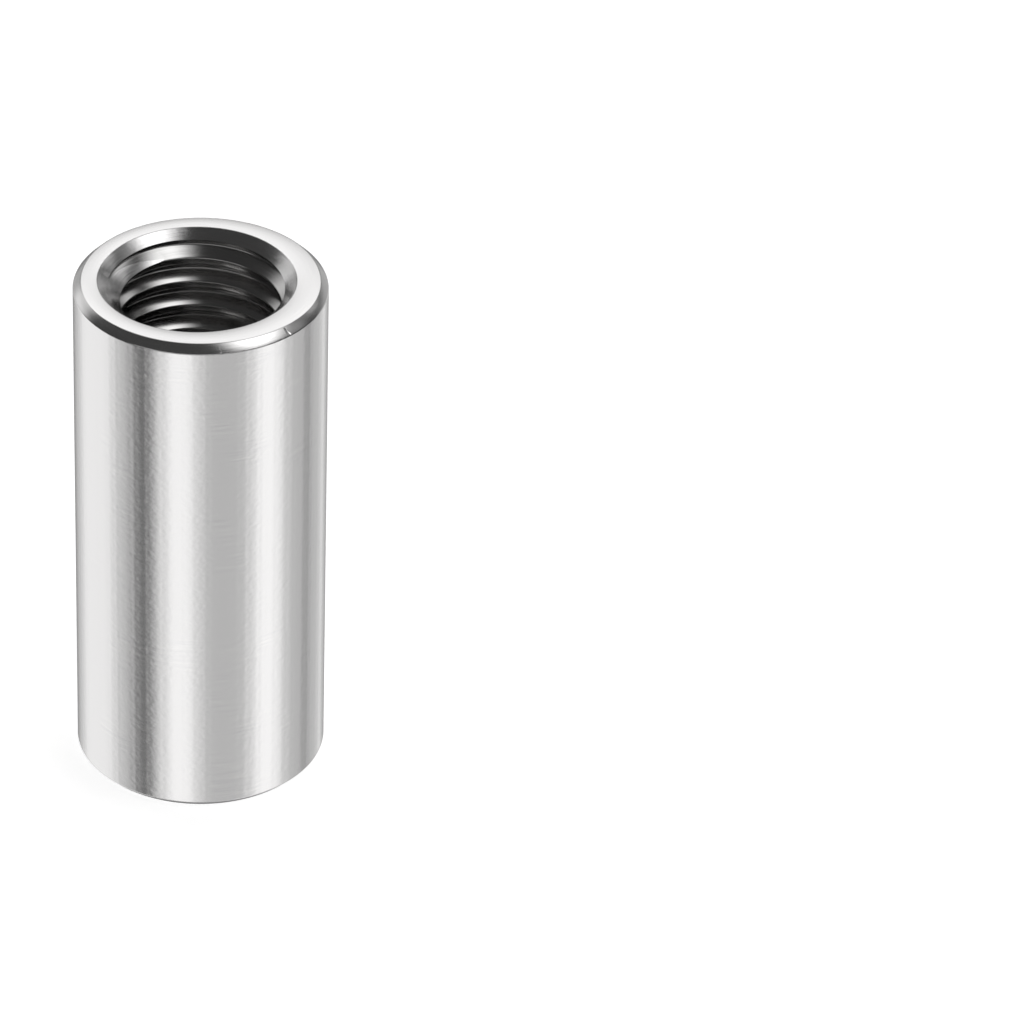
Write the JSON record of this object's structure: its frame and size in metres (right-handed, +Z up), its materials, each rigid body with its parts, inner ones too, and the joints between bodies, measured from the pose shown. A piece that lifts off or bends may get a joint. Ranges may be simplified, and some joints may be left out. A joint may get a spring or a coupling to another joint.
{
  "type": "round coupling nut",
  "caption": "Round steel coupling nut: a turned cylindrical sleeve with chamfered ends, threaded from end to end to join two threaded rods end to end.",
  "frame": {"origin": "centre of the lower end face, on the axis of the sleeve", "axes": "+Z up along the axis of the sleeve and its thread; X and Y are equal, because the sleeve is round"},
  "size_m": [0.016, 0.016, 0.035],
  "materials": {
    "turned_steel": "bright turned stainless steel, satin along the outside, faced ends and burnished edges"
  },
  "bodies": {
    "root": {"coupling_nut": "turned_steel"}
  },
  "joints": []
}
